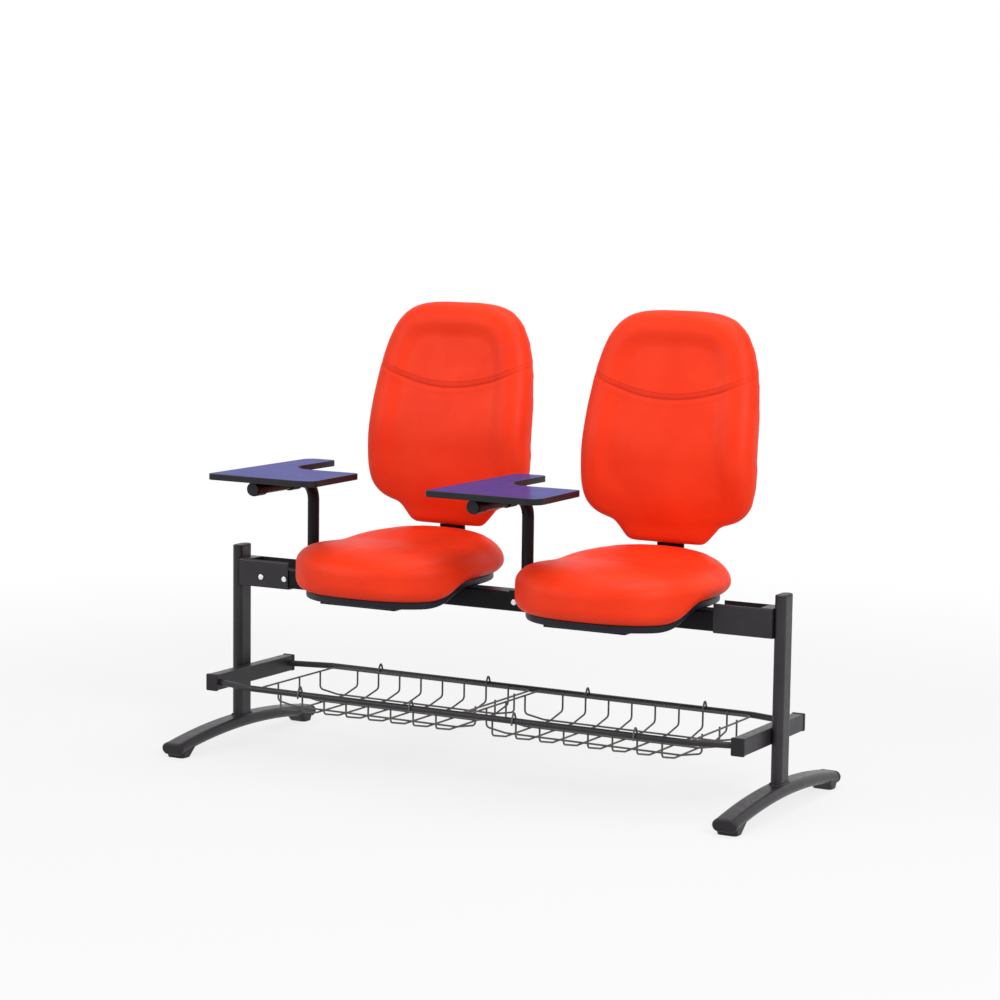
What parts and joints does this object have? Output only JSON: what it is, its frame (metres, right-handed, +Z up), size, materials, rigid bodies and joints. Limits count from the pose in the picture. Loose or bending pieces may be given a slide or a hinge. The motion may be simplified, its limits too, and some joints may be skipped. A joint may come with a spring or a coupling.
{
  "type": "two-seat classroom chair",
  "caption": "Classroom bench unit: padded seats and backs on one beam between T-shaped stands, with flip-up writing tablets and wire book baskets below.",
  "frame": {"origin": "on the floor, midway between the two stands and midway between the ends of their feet", "axes": "+X along the beam, to the left hand of the sitters; the sitters face -Y; +Z up"},
  "size_m": [1.3312, 0.5228, 0.9602],
  "materials": {
    "frame_coat": "satin",
    "black_coat": "satin",
    "zinc": "satin",
    "wire_coat": "satin",
    "vinyl": "satin",
    "black_plastic": "matte",
    "grey_plastic": "matte",
    "plywood": "matte",
    "laminate": "gloss",
    "edging": "satin"
  },
  "bodies": {
    "frame": {"arm_plug_left": "black_plastic", "arm_plug_right": "black_plastic", "arm_saddle_left": "black_coat", "arm_saddle_right": "black_coat", "back_bar_bolts": "zinc", "back_bar_left": "black_coat", "back_bar_right": "black_coat", "back_cushion_left": "vinyl", "back_cushion_right": "vinyl", "back_screws": "zinc", "back_shell_left": "black_plastic", "back_shell_right": "black_plastic", "beam": "black_coat", "beam_bracket_left": "frame_coat", "beam_bracket_right": "frame_coat", "bracket_bolts": "zinc", "column_cap_left": "grey_plastic", "column_cap_right": "grey_plastic", "column_left": "frame_coat", "column_right": "frame_coat", "crossbar_left": "frame_coat", "crossbar_plugs": "grey_plastic", "crossbar_right": "frame_coat", "foot_caps_left": "grey_plastic", "foot_caps_right": "grey_plastic", "foot_left": "frame_coat", "foot_right": "frame_coat", "hex_nuts": "zinc", "rail_front": "frame_coat", "rail_rear": "frame_coat", "rest_lug_left": "black_coat", "rest_lug_right": "black_coat", "seat_board_left": "plywood", "seat_board_right": "plywood", "seat_cushion_left": "vinyl", "seat_cushion_right": "vinyl", "seat_pan_left": "black_plastic", "seat_pan_right": "black_plastic", "seat_saddle_left": "black_coat", "seat_saddle_right": "black_coat", "seat_screws": "zinc", "tablet_arm_left": "black_coat", "tablet_arm_right": "black_coat", "through_bolts": "zinc"},
    "basket_left": {"basket_cross_wires_left": "wire_coat", "basket_long_wires_left": "wire_coat", "basket_rim_left": "wire_coat"},
    "basket_right": {"basket_cross_wires_right": "wire_coat", "basket_long_wires_right": "wire_coat", "basket_rim_right": "wire_coat"},
    "tablet_left": {"tablet_board_left": "laminate", "tablet_edge_left": "edging", "tablet_screws_left": "zinc", "tablet_straps_left": "black_coat"},
    "tablet_right": {"tablet_board_right": "laminate", "tablet_edge_right": "edging", "tablet_screws_right": "zinc", "tablet_straps_right": "black_coat"}
  },
  "joints": [
    {"name": "tablet_flip_left", "type": "hinge", "parent": "frame", "child": "tablet_left", "pos_m": [-0.455, -0.145, 0.583], "axis": [0, -1, 0], "range_deg": [0, 90]},
    {"name": "tablet_flip_right", "type": "hinge", "parent": "frame", "child": "tablet_right", "pos_m": [0.069, -0.145, 0.583], "axis": [0, -1, 0], "range_deg": [0, 90]},
    {"name": "basket_lift_left", "type": "slide", "parent": "frame", "child": "basket_left", "axis": [0, 0, 1], "range_m": [0, 0.06]},
    {"name": "basket_lift_right", "type": "slide", "parent": "frame", "child": "basket_right", "axis": [0, 0, 1], "range_m": [0, 0.06]}
  ]
}
